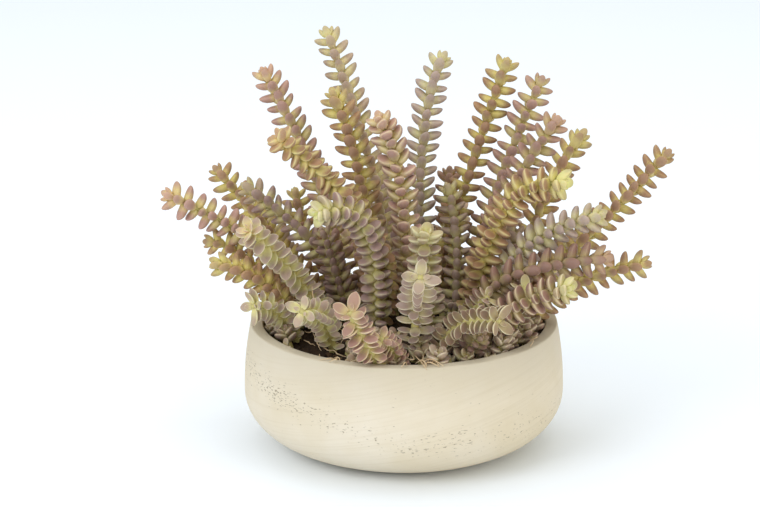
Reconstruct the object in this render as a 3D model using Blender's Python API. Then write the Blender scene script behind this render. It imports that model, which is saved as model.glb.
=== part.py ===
"""A succulent dish garden: leafy trailing stems planted in a low round bowl.

The origin is the middle of the bowl's underside, +Z is up and the front of the
planting faces -Y. Lengths are in metres; the stems' routes are in millimetres.
"""

import math
import random

import bmesh
import bpy
from mathutils import Matrix, Vector
from mathutils.bvhtree import BVHTree

MM = 0.001
SEED = 7
GAP = 0.3 * MM

# The bowl: a thick cast wall with a round belly, drawn in towards a flat lip.
BOWL_HEIGHT = 98 * MM
BELLY_RADIUS = 125 * MM
BELLY_HEIGHT = 44 * MM
FOOT_RADIUS = 62 * MM
LIP_RADIUS = 119.5 * MM
NECK_POWER = 2.0
WALL = 9.5 * MM
FLOOR = 10 * MM
LIP_ROUNDING = 1.2 * MM
BOWL_SIDES = 36
BELLY_STEPS = 4
NECK_STEPS = 4

# The soil: a filled, slightly domed bed some way below the lip.
SOIL_NECK_STEPS = 3
SOIL_CROWN = 3 * MM
SOIL_BUMP = 0.8 * MM
BUMP_ACROSS = 9 * MM
BUMP_ALONG = 11 * MM
SOIL_RINGS = 2
HOLE_SLACK = 0.35 * MM
HOLE_TOP = 10 * MM
ROOT_DEPTH = 14 * MM
COLLAR_HEIGHT = 2 * MM

# The stems: a four-sided core with leaves in crossed pairs.
STEM_RADIUS = 1.9 * MM
STEM_TIP_RADIUS = 1.1 * MM
LEAF_LENGTH = 15.2 * MM
LEAF_HALF_WIDTH = 0.33
LEAF_KEEL = 0.32
LEAF_BELT = 0.50
LEAF_BROW = 0.05
LEAF_SEAT = 0.7
LEAF_CURL = 0.14
LEAF_SPREAD = 60
PAIR_PITCH = 9.2 * MM
BUD_LENGTH = 3.5 * MM
BARE_SHORT = 12 * MM
BARE_TALL = 38 * MM
TALL_STEM = 160 * MM
CURVE_STEPS = 60
FRONT = (0.0, -1.0, 0.3)
FACING_PLACE = 42
TURN_PLAY = math.radians(9)
# From the bud downwards: pitch, leaf size and spread of the young pairs.
YOUNG_PAIRS = (
    (0.34, 0.60, 24),
    (0.46, 0.76, 38),
    (0.62, 0.90, 50),
    (0.82, 1.00, 56),
)
# A leaf that would touch a neighbour is drawn as the next of these: size, spread.
LEAF_TRIES = ((1.0, 0), (0.88, -10), (0.88, 12), (0.72, -16), (0.72, 10), (0.58, -10))
LEAF_MARGIN = 0.45 * MM
CORE_MARGIN = 0.5 * MM

# Each stem: root (x, y), elbow (x, y, z), tip (x, y, z), leaf size, twist, tint.
# A stem leaves its root towards the elbow and comes to its tip from there. With no twist
# one of its four ranks of leaves faces the front.
STEMS = (
    # Front, over the lip and at the soil's edge
    ((-14, -95), (-24, -113, 108), (-40, -126, 142), 1.12, 45, "rose"),
    ((2, -88), (-10, -94, 112), (-17, -108, 117), 0.70, 20, "rose"),
    ((8, -66), (8, -74, 142), (12, -112, 166), 1.05, 0, "lilac"),
    ((26, -62), (34, -76, 128), (70, -116, 134), 0.95, 45, "straw"),
    ((46, -64), (48, -75, 100), (58, -86, 112), 0.75, 0, "mauve"),
    ((40, -36), (40, -52, 110), (63, -64, 136), 0.75, 0, "mauve"),
    ((-54, -44), (-58, -52, 124), (-76, -88, 132), 0.90, 10, "sage"),
    ((-84, -18), (-98, -28, 124), (-115, -48, 123), 0.95, 15, "sage"),
    # Front middle
    ((22, -30), (14, -41, 154), (16, -52, 182), 1.00, 0, "sage"),
    ((-22, 4), (-15, -19, 209), (-64, -42, 195), 1.00, 0, "mauve"),
    ((-20, 24), (8, 3, 164), (-96, -18, 247), 1.05, 45, "gold"),
    ((4, 26), (3, 14, 225), (-19, 2, 257), 1.05, 0, "rose"),
    ((-44, 30), (-56, 30, 140), (-64, 30, 160), 0.80, 0, "mauve"),
    # Left side, spreading
    ((-60, 16), (-78, 0, 134), (-118, -40, 181), 1.10, 45, "sage"),
    ((-90, 4), (-95, -7, 137), (-144, -18, 148), 0.95, 0, "gold"),
    ((-90, 24), (-116, 21, 151), (-152, 18, 155), 0.90, 0, "gold"),
    ((-78, 42), (-86, 36, 146), (-182, 0, 197), 1.00, 0, "rose"),
    ((-52, 44), (-30, 44, 123), (-124, 44, 192), 0.95, 0, "mauve"),
    ((-66, 62), (-75, 68, 111), (-149, 74, 198), 0.95, 0, "gold"),
    # Right side, spreading
    ((58, -46), (65, -65, 130), (121, -84, 149), 1.00, 0, "rose"),
    ((80, -36), (86, -48, 120), (92, -58, 141), 0.80, 0, "sage"),
    ((74, -20), (27, -34, 147), (152, -48, 162), 1.00, 0, "rose"),
    ((90, -4), (96, -8, 127), (185, -12, 147), 1.00, 0, "gold"),
    ((72, 6), (60, -8, 162), (147, -45, 195), 1.00, 0, "lilac"),
    ((52, 2), (64, -17, 222), (119, -36, 217), 1.05, 0, "gold"),
    ((68, 28), (140, 36, 146), (205, 42, 220), 0.95, 0, "gold"),
    ((60, 16), (104, 20, 118), (83, 20, 166), 0.95, 0, "sage"),
    # Tall stems
    ((-50, 62), (-44, 64, 160), (-110, 66, 279), 1.00, 0, "rose"),
    ((-24, 44), (-25, 42, 201), (-55, 40, 268), 1.05, 0, "gold"),
    ((-16, 64), (-5, 72, 163), (-61, 80, 308), 1.00, 0, "straw"),
    ((14, 66), (6, 74, 243), (30, 82, 288), 0.98, 0, "lilac"),
    ((20, 50), (31, 63, 138), (80, 76, 285), 1.00, 0, "gold"),
    ((50, 56), (56, 61, 154), (107, 66, 273), 1.02, 0, "rose"),
    ((56, 38), (50, 29, 152), (117, 20, 252), 1.02, 0, "rose"),
    ((76, 50), (118, 62, 206), (140, 78, 225), 1.00, 0, "gold"),
    ((40, 30), (46, 37, 158), (34, 44, 192), 0.85, 0, "sage"),
    ((38, 76), (34, 86, 140), (36, 92, 192), 0.90, 0, "rose"),
    # Back, leaning away
    ((-42, 78), (-76, 89, 115), (-88, 100, 173), 0.90, 0, "gold"),
    ((0, 84), (-4, 104, 142), (-22, 148, 176), 1.00, 0, "mauve"),
    ((58, 66), (70, 90, 138), (92, 132, 160), 1.00, 0, "lilac"),
    ((-80, 52), (-94, 76, 132), (-122, 112, 156), 1.00, 0, "straw"),
    ((20, 86), (28, 106, 134), (48, 158, 142), 0.95, 0, "sage"),
    ((90, 32), (106, 46, 130), (140, 88, 136), 0.95, 0, "mauve"),
    ((-22, 86), (-36, 108, 130), (-58, 152, 130), 0.90, 0, "rose"),
)

# Base colours, linear RGB
BOWL_COLOUR = (0.74, 0.67, 0.53)
SOIL_COLOUR = (0.045, 0.03, 0.02)
TINTS = {
    "gold": (0.36, 0.29, 0.10),
    "rose": (0.40, 0.25, 0.19),
    "lilac": (0.38, 0.30, 0.26),
    "mauve": (0.30, 0.20, 0.17),
    "sage": (0.33, 0.33, 0.17),
    "straw": (0.37, 0.31, 0.20),
}


def clear_scene():
    for obj in list(bpy.data.objects):
        bpy.data.objects.remove(obj, do_unlink=True)


def make_material(name, colour, roughness):
    material = bpy.data.materials.new(name)
    material.use_nodes = True
    shader = material.node_tree.nodes["Principled BSDF"]
    shader.inputs["Base Color"].default_value = (*colour, 1.0)
    shader.inputs["Roughness"].default_value = roughness
    shader.inputs["Metallic"].default_value = 0.0
    return material


def make_object(name, mesh, colour, roughness):
    obj = bpy.data.objects.new(name, mesh)
    bpy.context.collection.objects.link(obj)
    mesh.materials.append(make_material(name + "_material", colour, roughness))
    return obj


def turn_profile(name, profile, sides):
    """Turn (radius, height) points about Z; the first and last lie on the axis."""
    mesh = bpy.data.meshes.new(name)
    bm = bmesh.new()
    corners = [bm.verts.new((radius, 0.0, height)) for radius, height in profile]
    edges = [bm.edges.new(pair) for pair in zip(corners, corners[1:])]
    bmesh.ops.spin(
        bm,
        geom=corners + edges,
        cent=(0.0, 0.0, 0.0),
        axis=(0.0, 0.0, 1.0),
        angle=2.0 * math.pi,
        steps=sides,
        use_merge=True,
    )
    bmesh.ops.remove_doubles(bm, verts=bm.verts, dist=0.01 * MM)
    bmesh.ops.recalc_face_normals(bm, faces=bm.faces)
    bm.to_mesh(mesh)
    bm.free()
    return mesh


def outer_radius(height):
    """The bowl's outside radius, from the belly up to the lip."""
    rise = (height - BELLY_HEIGHT) / (BOWL_HEIGHT - BELLY_HEIGHT)
    return BELLY_RADIUS - (BELLY_RADIUS - LIP_RADIUS) * rise**NECK_POWER


def belly_curve(inset, floor):
    """A quarter ellipse from the flat foot or floor out to the belly."""
    across = BELLY_RADIUS - inset - FOOT_RADIUS
    down = BELLY_HEIGHT - floor
    points = []
    for step in range(BELLY_STEPS + 1):
        angle = 0.5 * math.pi * step / BELLY_STEPS
        radius = FOOT_RADIUS + across * math.sin(angle)
        points.append((radius, BELLY_HEIGHT - down * math.cos(angle)))
    return points


def neck_height(step):
    """Height of a step of the neck, from the belly up to the lip's rounding."""
    shoulder = BOWL_HEIGHT - LIP_ROUNDING
    return BELLY_HEIGHT + (shoulder - BELLY_HEIGHT) * step / NECK_STEPS


def neck_curve(inset, steps):
    """The wall above the belly, up to one of the neck's steps."""
    heights = [neck_height(step) for step in range(1, steps + 1)]
    return [(outer_radius(height) - inset, height) for height in heights]


def make_bowl():
    outside = belly_curve(0.0, 0.0) + neck_curve(0.0, NECK_STEPS)
    inside = belly_curve(WALL, FLOOR) + neck_curve(WALL, NECK_STEPS)
    lip_outer = (outside[-1][0] - LIP_ROUNDING, BOWL_HEIGHT)
    lip_inner = (inside[-1][0] + LIP_ROUNDING, BOWL_HEIGHT)
    profile = [(0.0, 0.0)] + outside + [lip_outer, lip_inner] + inside[::-1]
    profile.append((0.0, FLOOR))
    mesh = turn_profile("bowl", profile, BOWL_SIDES)
    bowl = make_object("bowl", mesh, BOWL_COLOUR, 0.75)
    bowl.data.shade_smooth()
    bowl.data.set_sharp_from_angle(angle=math.radians(35))
    return bowl


def soil_height(x, y):
    """Height of the soil's surface: a low dome with shallow bumps."""
    edge = neck_height(SOIL_NECK_STEPS)
    reach = outer_radius(edge) - WALL
    dome = SOIL_CROWN * (1.0 - (x * x + y * y) / reach**2)
    bumps = math.sin(x / BUMP_ACROSS) * math.cos(y / BUMP_ALONG)
    return edge + dome + SOIL_BUMP * bumps


def make_soil(stems):
    wall = belly_curve(WALL + GAP, FLOOR + GAP)
    wall += neck_curve(WALL + GAP, SOIL_NECK_STEPS)
    edge_radius, edge_height = wall[-1]
    crown = edge_height + SOIL_CROWN
    surface = []
    for ring in range(SOIL_RINGS, -1, -1):
        surface.append((edge_radius * ring / (SOIL_RINGS + 1), crown))
    mesh = turn_profile("soil", [(0.0, FLOOR + GAP)] + wall + surface, BOWL_SIDES)
    for vertex in mesh.vertices:
        x, y, z = vertex.co
        if z > edge_height + GAP:
            vertex.co.z = soil_height(x, y)
    soil = make_object("soil", mesh, SOIL_COLOUR, 0.95)
    cutters = bpy.data.collections.new("root_holes")
    for stem in stems:
        cutters.objects.link(hole_cutter(stem))
    cut = soil.modifiers.new("root_holes", "BOOLEAN")
    cut.operation = "DIFFERENCE"
    cut.operand_type = "COLLECTION"
    cut.collection = cutters
    bake_modifiers(soil)
    for cutter in list(cutters.objects):
        bpy.data.objects.remove(cutter, do_unlink=True)
    bpy.data.collections.remove(cutters)
    return soil


def bake_modifiers(obj):
    """Replace an object's mesh by its evaluated one and drop its modifiers."""
    graph = bpy.context.evaluated_depsgraph_get()
    mesh = bpy.data.meshes.new_from_object(obj.evaluated_get(graph))
    obj.modifiers.clear()
    obj.data = mesh


def hole_cutter(stem):
    """A square prism, a little larger than the stem's root, open at the top."""
    root = stem["rings"][0]
    collar = stem["rings"][1]
    top = collar["centre"].z + HOLE_TOP
    bottom = root["centre"].z - GAP
    corners = ring_corners(root, HOLE_SLACK)
    low = [Vector((corner.x, corner.y, bottom)) for corner in corners]
    high = [Vector((corner.x, corner.y, top)) for corner in corners]
    mesh = bpy.data.meshes.new("hole")
    sides = [(i, (i + 1) % 4, (i + 1) % 4 + 4, i + 4) for i in range(4)]
    mesh.from_pydata(low + high, [], sides + [(3, 2, 1, 0), (4, 5, 6, 7)])
    cutter = bpy.data.objects.new("hole", mesh)
    cutter.hide_render = True
    cutter.display_type = "WIRE"
    return cutter


def route_points(root, elbow, tip):
    """Even steps along the stem: a parabola drawn by its root, elbow and tip."""
    points = []
    for step in range(CURVE_STEPS + 1):
        t = step / CURVE_STEPS
        lower = root.lerp(elbow, t)
        upper = elbow.lerp(tip, t)
        points.append(lower.lerp(upper, t))
    return points


def facing_turn(points):
    """The root's turn that brings one rank of leaves round to the front."""
    up = Vector((0.0, 0.0, 1.0))
    axis = (points[FACING_PLACE + 1] - points[FACING_PLACE]).normalized()
    side = up.rotation_difference(axis) @ Vector((1.0, 0.0, 0.0))
    front = Vector(FRONT) - axis * Vector(FRONT).dot(axis)
    return math.atan2(side.cross(front).dot(axis), side.dot(front))


def point_along(points, distance):
    """Place and direction at a distance along a chain of points."""
    for start, end in zip(points, points[1:]):
        length = (end - start).length
        if distance <= length or end is points[-1]:
            return start.lerp(end, distance / length), (end - start).normalized()
        distance -= length


def pair_stations(length, bare, pitch):
    """Distances of the rings that bound the leaf pairs, with their leaf shapes."""
    stations = [length]
    shapes = []
    index = 0
    while True:
        if index < len(YOUNG_PAIRS):
            share, size, spread = YOUNG_PAIRS[index]
        else:
            share, size, spread = 1.0, 1.0, LEAF_SPREAD
        if stations[-1] - share * pitch < bare:
            break
        stations.append(stations[-1] - share * pitch)
        shapes.append((size, spread))
        index += 1
    return stations[::-1], shapes[::-1]


def plan_stem(number, root, elbow, tip, leaf_size, twist, tint):
    """Rings of a stem's core, bottom to top, and the shape of each leaf pair."""
    foot = Vector((*root, 0.0)) * MM
    foot.z = soil_height(foot.x, foot.y)
    points = route_points(foot, Vector(elbow) * MM, Vector(tip) * MM)
    length = sum((b - a).length for a, b in zip(points, points[1:]))
    bare = BARE_TALL if length > TALL_STEM else BARE_SHORT
    stations, shapes = pair_stations(length, bare, PAIR_PITCH * leaf_size)

    rings = []
    up = Vector((0.0, 0.0, 1.0))
    turn = facing_turn(points) + twist
    side = Matrix.Rotation(turn, 3, up) @ Vector((1.0, 0.0, 0.0))
    for height in (-ROOT_DEPTH, COLLAR_HEIGHT):
        rings.append(make_ring(foot + up * height, up, side, STEM_RADIUS))
    axis = up
    for distance in stations:
        centre, direction = point_along(points, distance)
        side = axis.rotation_difference(direction) @ side
        axis = direction
        share = distance / length
        radius = STEM_RADIUS + (STEM_TIP_RADIUS - STEM_RADIUS) * share
        rings.append(make_ring(centre, axis, side, radius))
    name = "leafy_stem_%02d" % number
    return {"name": name, "rings": rings, "shapes": shapes, "size": leaf_size, "tint": tint}


def make_ring(centre, axis, side, radius):
    return {"centre": centre, "axis": axis, "side": side, "radius": radius}


def ring_corners(ring, slack=0.0):
    """Four corners of the square core; its sides face the four ranks of leaves."""
    other = ring["axis"].cross(ring["side"])
    reach = ring["radius"] + slack * math.sqrt(2.0)
    corners = []
    for quarter in range(4):
        angle = math.radians(90 * quarter - 45)
        outward = ring["side"] * math.cos(angle) + other * math.sin(angle)
        corners.append(ring["centre"] + outward * reach)
    return corners


def leaf_points(low, high, rank, length, spread, swell=0.0):
    """Left, right and keel of a leaf at its widest, and its tip."""
    axis = high["axis"]
    outward = Matrix.Rotation(math.radians(90 * rank), 3, axis) @ high["side"]
    lean = math.radians(spread)
    along = axis * math.cos(lean) + outward * math.sin(lean)
    across = axis.cross(outward)
    upper = across.cross(along)
    if upper.dot(axis) < 0.0:
        upper.negate()
    base = (low["centre"] + high["centre"]) / 2 + outward * high["radius"] * LEAF_SEAT
    middle = base + along * length * LEAF_BELT
    half = across * (length * LEAF_HALF_WIDTH + swell)
    brow = upper * (length * LEAF_BROW + swell)
    left = middle - half + brow
    right = middle + half + brow
    keel = middle - upper * (length * LEAF_KEEL + swell)
    tip = base + along * (length + swell) + upper * length * LEAF_CURL
    return left, right, keel, tip


def leaf_faces(base, tips):
    """Faces of a leaf on the base (lower left, lower right, upper right, upper left)."""
    lower_left, lower_right, upper_right, upper_left = base
    left, right, keel, tip = tips
    return [
        (right, upper_right, upper_left),
        (left, right, upper_left),
        (right, lower_right, upper_right),
        (right, keel, lower_right),
        (keel, lower_left, lower_right),
        (keel, left, lower_left),
        (left, upper_left, lower_left),
        (tip, right, left),
        (tip, keel, right),
        (tip, left, keel),
    ]


def tree_of(vertices, faces):
    return BVHTree.FromPolygons(vertices, faces)


def tree_of_object(obj):
    vertices = [vertex.co for vertex in obj.data.vertices]
    faces = [tuple(polygon.vertices) for polygon in obj.data.polygons]
    return tree_of(vertices, faces)


def core_tree(stem):
    """The bare core of a stem, which the leaves of other stems keep clear of."""
    vertices = []
    faces = []
    for index, ring in enumerate(stem["rings"][1:]):
        vertices += ring_corners(ring, CORE_MARGIN)
        if index > 0:
            start = 4 * index
            for i in range(4):
                j = (i + 1) % 4
                faces.append((start - 4 + i, start - 4 + j, start + j, start + i))
    return tree_of(vertices, faces)


def clear_leaf(low, high, rank, size, spread, obstacles, own_tips):
    """The first leaf of LEAF_TRIES that touches nothing, or None."""
    base = ring_corners(low) + ring_corners(high)
    corners = (rank % 4, (rank + 1) % 4, (rank + 1) % 4 + 4, rank % 4 + 4)
    for shrink, tilt in LEAF_TRIES:
        length = LEAF_LENGTH * size * shrink
        swollen = leaf_points(low, high, rank, length, spread + tilt, LEAF_MARGIN)
        faces = leaf_faces(corners, (8, 9, 10, 11))
        trial = tree_of(base + list(swollen), faces)
        if any(trial.overlap(obstacle) for obstacle in obstacles):
            continue
        outer = tree_of(list(swollen), [(0, 1, 3), (1, 2, 3), (2, 0, 3), (0, 2, 1)])
        if any(outer.overlap(tip) for tip in own_tips):
            continue
        return leaf_points(low, high, rank, length, spread + tilt)
    return None


def make_stem(stem, obstacles):
    """One closed mesh: the core, with a pair of leaves drawn out of each segment."""
    rings = stem["rings"]
    vertices = []
    faces = [(3, 2, 1, 0)]
    own_tips = []
    for ring in rings:
        vertices += ring_corners(ring)
    first_pair = len(rings) - 1 - len(stem["shapes"])
    for index, (low, high) in enumerate(zip(rings, rings[1:])):
        pair = index - first_pair
        for rank in range(4):
            here = 4 * index + rank
            near = 4 * index + (rank + 1) % 4
            base = (here, near, near + 4, here + 4)
            tips = None
            if pair >= 0 and rank % 2 == pair % 2:
                size, spread = stem["shapes"][pair]
                tips = clear_leaf(
                    low, high, rank, size * stem["size"], spread, obstacles, own_tips
                )
            if tips is None:
                faces.append(base)
                continue
            start = len(vertices)
            vertices += tips
            faces += leaf_faces(base, range(start, start + 4))
            own_tips.append(tree_of(list(tips), [(0, 1, 3), (1, 2, 3), (2, 0, 3), (0, 2, 1)]))
    last = rings[-1]
    vertices.append(last["centre"] + last["axis"] * BUD_LENGTH)
    top = 4 * (len(rings) - 1)
    for rank in range(4):
        faces.append((top + rank, top + (rank + 1) % 4, len(vertices) - 1))
    mesh = bpy.data.meshes.new(stem["name"])
    mesh.from_pydata(vertices, [], faces)
    mesh.update()
    return make_object(stem["name"], mesh, TINTS[stem["tint"]], 0.55)


def build():
    clear_scene()
    chance = random.Random(SEED)
    stems = []
    for number, (root, elbow, tip, size, twist, tint) in enumerate(STEMS, start=1):
        twist = math.radians(twist) + chance.uniform(-TURN_PLAY, TURN_PLAY)
        stems.append(plan_stem(number, root, elbow, tip, size, twist, tint))
    bowl = make_bowl()
    soil = make_soil(stems)
    cores = [core_tree(stem) for stem in stems]
    built = [tree_of_object(bowl), tree_of_object(soil)]
    for index, stem in enumerate(stems):
        others = cores[:index] + cores[index + 1:]
        obj = make_stem(stem, others + built)
        built.append(tree_of_object(obj))


build()
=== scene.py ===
import math
import random

import bpy
import numpy as np
from mathutils import Matrix, Vector, noise
from mathutils.kdtree import KDTree


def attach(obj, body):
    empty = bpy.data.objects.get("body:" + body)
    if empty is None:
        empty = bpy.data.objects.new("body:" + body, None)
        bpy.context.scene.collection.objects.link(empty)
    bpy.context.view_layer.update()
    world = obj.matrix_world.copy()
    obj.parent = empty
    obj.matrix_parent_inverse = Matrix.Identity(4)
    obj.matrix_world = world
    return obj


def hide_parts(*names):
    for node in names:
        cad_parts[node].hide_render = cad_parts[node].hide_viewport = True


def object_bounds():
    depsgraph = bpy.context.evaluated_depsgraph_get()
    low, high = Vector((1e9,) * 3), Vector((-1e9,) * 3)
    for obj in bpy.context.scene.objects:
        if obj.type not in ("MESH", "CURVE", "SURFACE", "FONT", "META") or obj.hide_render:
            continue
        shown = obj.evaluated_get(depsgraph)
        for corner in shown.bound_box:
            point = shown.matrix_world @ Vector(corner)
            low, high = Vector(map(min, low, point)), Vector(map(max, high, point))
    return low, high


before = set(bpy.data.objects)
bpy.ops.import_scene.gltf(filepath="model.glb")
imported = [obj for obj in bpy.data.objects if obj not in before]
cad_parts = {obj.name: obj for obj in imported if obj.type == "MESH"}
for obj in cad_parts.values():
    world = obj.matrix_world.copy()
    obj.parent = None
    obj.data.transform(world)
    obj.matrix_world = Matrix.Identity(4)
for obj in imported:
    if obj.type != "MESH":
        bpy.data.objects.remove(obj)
cad_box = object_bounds()

# Studio: a plain pale floor under a white sweep of soft light, and the camera that
# looks down on the front of the bowl from about head height over a table.
MM = 0.001
CAMERA_PLACE = (0.0, -1.8893, 0.7061)
CAMERA_DOWN = 16.37
CAMERA_TURN = 0.564
CAMERA_LENS = 120.5
SENSOR_WIDTH = 36.0
LIGHT_AIM = (0.0, 0.0, 0.12)
FLOOR_SIZE = 14.0
FLOOR_WHITE = "#F6FBFF"
SKY_WHITE = "#F8FCFF"
SKY_STRENGTH = 0.84
KEY_LIGHT = {"place": (-1.9, -1.9, 1.9), "size": 1.6, "watts": 33.0, "tone": "#F6F8FF"}
FILL_LIGHT = {"place": (1.9, -1.8, 0.8), "size": 1.8, "watts": 13.0, "tone": "#FFEFD6"}
TOP_LIGHT = {"place": (0.1, 0.5, 2.4), "size": 1.8, "watts": 15.0, "tone": "#FFFFFF"}


def linear(hex_colour):
    """An sRGB hex colour as linear red, green, blue and alpha."""
    channels = []
    for start in (1, 3, 5):
        value = int(hex_colour[start:start + 2], 16) / 255.0
        if value <= 0.04045:
            channels.append(value / 12.92)
        else:
            channels.append(((value + 0.055) / 1.055) ** 2.4)
    return (*channels, 1.0)


def set_inputs(tree, node, inputs):
    """Link each input that is given a socket, and set the others."""
    for key, value in inputs.items():
        if isinstance(value, bpy.types.NodeSocket):
            tree.links.new(value, node.inputs[key])
        else:
            node.inputs[key].default_value = value


def add_node(tree, kind, inputs=None, output=None, **settings):
    """Add a node with its settings and inputs, and return its output, or the one named."""
    node = tree.nodes.new("ShaderNode" + kind)
    for key, value in settings.items():
        setattr(node, key, value)
    set_inputs(tree, node, inputs or {})
    if output:
        return node.outputs[output]
    return next(socket for socket in node.outputs if socket.enabled)


def new_material(name):
    material = bpy.data.materials.new(name)
    material.use_nodes = True
    tree = material.node_tree
    return material, tree, tree.nodes["Principled BSDF"]


def add_object(name, mesh, material):
    obj = bpy.data.objects.new(name, mesh)
    bpy.context.collection.objects.link(obj)
    mesh.materials.append(material)
    return obj


def add_softbox(name, place, size, watts, tone):
    lamp = bpy.data.lights.new(name, "AREA")
    lamp.size = size
    lamp.energy = watts
    lamp.color = linear(tone)[:3]
    obj = bpy.data.objects.new(name, lamp)
    bpy.context.collection.objects.link(obj)
    obj.location = place
    aim = Vector(LIGHT_AIM) - Vector(place)
    obj.rotation_euler = aim.to_track_quat("-Z", "Y").to_euler()


camera = bpy.data.objects.new("camera", bpy.data.cameras.new("camera"))
bpy.context.collection.objects.link(camera)
camera.location = CAMERA_PLACE
camera.rotation_euler = (math.radians(90.0 - CAMERA_DOWN), 0.0, math.radians(CAMERA_TURN))
camera.data.lens = CAMERA_LENS
camera.data.sensor_width = SENSOR_WIDTH
bpy.context.scene.camera = camera
bpy.context.scene.view_settings.view_transform = "Standard"

sky = bpy.data.worlds.new("sky")
sky.use_nodes = True
sky.node_tree.nodes["Background"].inputs["Color"].default_value = linear(SKY_WHITE)
sky.node_tree.nodes["Background"].inputs["Strength"].default_value = SKY_STRENGTH
bpy.context.scene.world = sky
add_softbox("key_softbox", **KEY_LIGHT)
add_softbox("fill_softbox", **FILL_LIGHT)
add_softbox("top_softbox", **TOP_LIGHT)

# Matt paper: no gloss, so that the floor shows only a faint shadow.
floor_paper, tree, shader = new_material("matt_paper")
set_inputs(tree, shader, {
    "Base Color": linear(FLOOR_WHITE), "Roughness": 0.95, "Specular IOR Level": 0.1})
floor_mesh = bpy.data.meshes.new("floor")
half_floor = FLOOR_SIZE / 2
floor_mesh.from_pydata(
    [(-half_floor, -half_floor, 0), (half_floor, -half_floor, 0),
     (half_floor, half_floor, 0), (-half_floor, half_floor, 0)],
    [],
    [(0, 1, 2, 3)],
)
floor = add_object("floor", floor_mesh, floor_paper)

# The bowl: one heavy piece cast in fine concrete, turned round and hand-finished with a
# cream lime wash. The wash stops at the lip, whose flat top shows the grey cast stone.
BOWL_HEIGHT = 98 * MM
BELLY_RADIUS = 125 * MM
BELLY_HEIGHT = 44 * MM
FOOT_RADIUS = 62 * MM
LIP_RADIUS = 119.5 * MM
NECK_POWER = 2.0
WALL = 9.5 * MM
BOWL_FLOOR = 10 * MM
LIP_ROUNDING = 1.2 * MM
BOWL_SIDES = 180
WALL_WANDER = 0.5 * MM
WANDER_SCALE = 22.0
WASH_LIGHT = "#E0D6C3"
WASH_WARM = "#D8CBB0"
WASH_STREAK = "#CABC9F"
WASH_THIN = "#C3B8A1"
CAST_GREY = "#C6BBA3"
PIT_GREY = "#A0947E"
DRAG_SLOPE = 0.24
# Marks per metre across, deep and up: long thin streaks, and pits flatter than wide
DRAG_STRETCH = (9.0, 9.0, 420.0)
PIT_STRETCH = (330.0, 330.0, 1000.0)
PIT_BAND_HEIGHT = 40 * MM
PIT_BAND_SLOPE = 0.25
PIT_BAND_OUTER = 17 * MM
PIT_BAND_INNER = 4 * MM
PIT_FADE_REACH = 70 * MM
WASH_END = 98.0 * MM
WASH_RAGGED = 2.2 * MM
LIP_INNER_EDGE = 118.1 * MM


def outer_radius(height):
    """The bowl's outside radius from the foot to the lip."""
    if height < BELLY_HEIGHT:
        rise = 1.0 - height / BELLY_HEIGHT
        return FOOT_RADIUS + (BELLY_RADIUS - FOOT_RADIUS) * math.sqrt(1.0 - rise * rise)
    rise = (height - BELLY_HEIGHT) / (BOWL_HEIGHT - BELLY_HEIGHT)
    return BELLY_RADIUS - (BELLY_RADIUS - LIP_RADIUS) * rise**NECK_POWER


def wall_points(inset, floor_height, belly_steps=16, neck_steps=16):
    """One side of the wall, from the floor's edge up to the lip's rounding."""
    across = BELLY_RADIUS - inset - FOOT_RADIUS
    down = BELLY_HEIGHT - floor_height
    top = BOWL_HEIGHT - LIP_ROUNDING
    points = []
    for step in range(belly_steps + 1):
        angle = 0.5 * math.pi * step / belly_steps
        height = BELLY_HEIGHT - down * math.cos(angle)
        points.append((FOOT_RADIUS + across * math.sin(angle), height))
    for step in range(1, neck_steps + 1):
        height = BELLY_HEIGHT + (top - BELLY_HEIGHT) * step / neck_steps
        points.append((outer_radius(height) - inset, height))
    return points


def lip_arc(centre_radius, start, end, steps=5):
    """The rounding of one edge of the lip, as a quarter circle."""
    points = []
    for step in range(1, steps + 1):
        angle = math.radians(start + (end - start) * step / steps)
        radius = centre_radius + LIP_ROUNDING * math.cos(angle)
        points.append((radius, BOWL_HEIGHT - LIP_ROUNDING + LIP_ROUNDING * math.sin(angle)))
    return points


def turn_profile(name, profile, sides):
    """Turn (radius, height) points about Z; the first and last lie on the axis."""
    vertices = [(0.0, 0.0, profile[0][1])]
    for radius, height in profile[1:-1]:
        for side in range(sides):
            angle = 2.0 * math.pi * side / sides
            vertices.append((radius * math.cos(angle), radius * math.sin(angle), height))
    vertices.append((0.0, 0.0, profile[-1][1]))
    faces = []
    rings = len(profile) - 2
    for side in range(sides):
        nxt = (side + 1) % sides
        faces.append((0, 1 + nxt, 1 + side))
        for ring in range(rings - 1):
            low = 1 + ring * sides
            high = low + sides
            faces.append((low + side, low + nxt, high + nxt, high + side))
        last = 1 + (rings - 1) * sides
        faces.append((last + side, last + nxt, len(vertices) - 1))
    mesh = bpy.data.meshes.new(name)
    mesh.from_pydata(vertices, [], faces)
    mesh.update()
    return mesh


outside = wall_points(0.0, 0.0)
inside = wall_points(WALL, BOWL_FLOOR)
lip_outer = lip_arc(outside[-1][0] - LIP_ROUNDING, 0, 90)
lip_inner = lip_arc(inside[-1][0] + LIP_ROUNDING, 90, 180)
bowl_profile = [(0.0, 0.0)] + outside + lip_outer + lip_inner + inside[::-1]
bowl_mesh = turn_profile("cast_bowl", bowl_profile + [(0.0, BOWL_FLOOR)], BOWL_SIDES)
# The hand-finished wall wanders by up to half a millimetre, always inwards. The foot
# stays flat.
for vertex in bowl_mesh.vertices:
    wander = noise.noise(vertex.co * WANDER_SCALE) * 0.5 + 0.5
    reach = math.hypot(vertex.co.x, vertex.co.y)
    if reach > FOOT_RADIUS * 1.1 and vertex.co.z > 2 * MM:
        shift = WALL_WANDER * wander / reach
        vertex.co.x -= vertex.co.x * shift
        vertex.co.y -= vertex.co.y * shift
bowl_mesh.shade_smooth()
bowl_mesh.set_sharp_from_angle(angle=math.radians(50))

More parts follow.
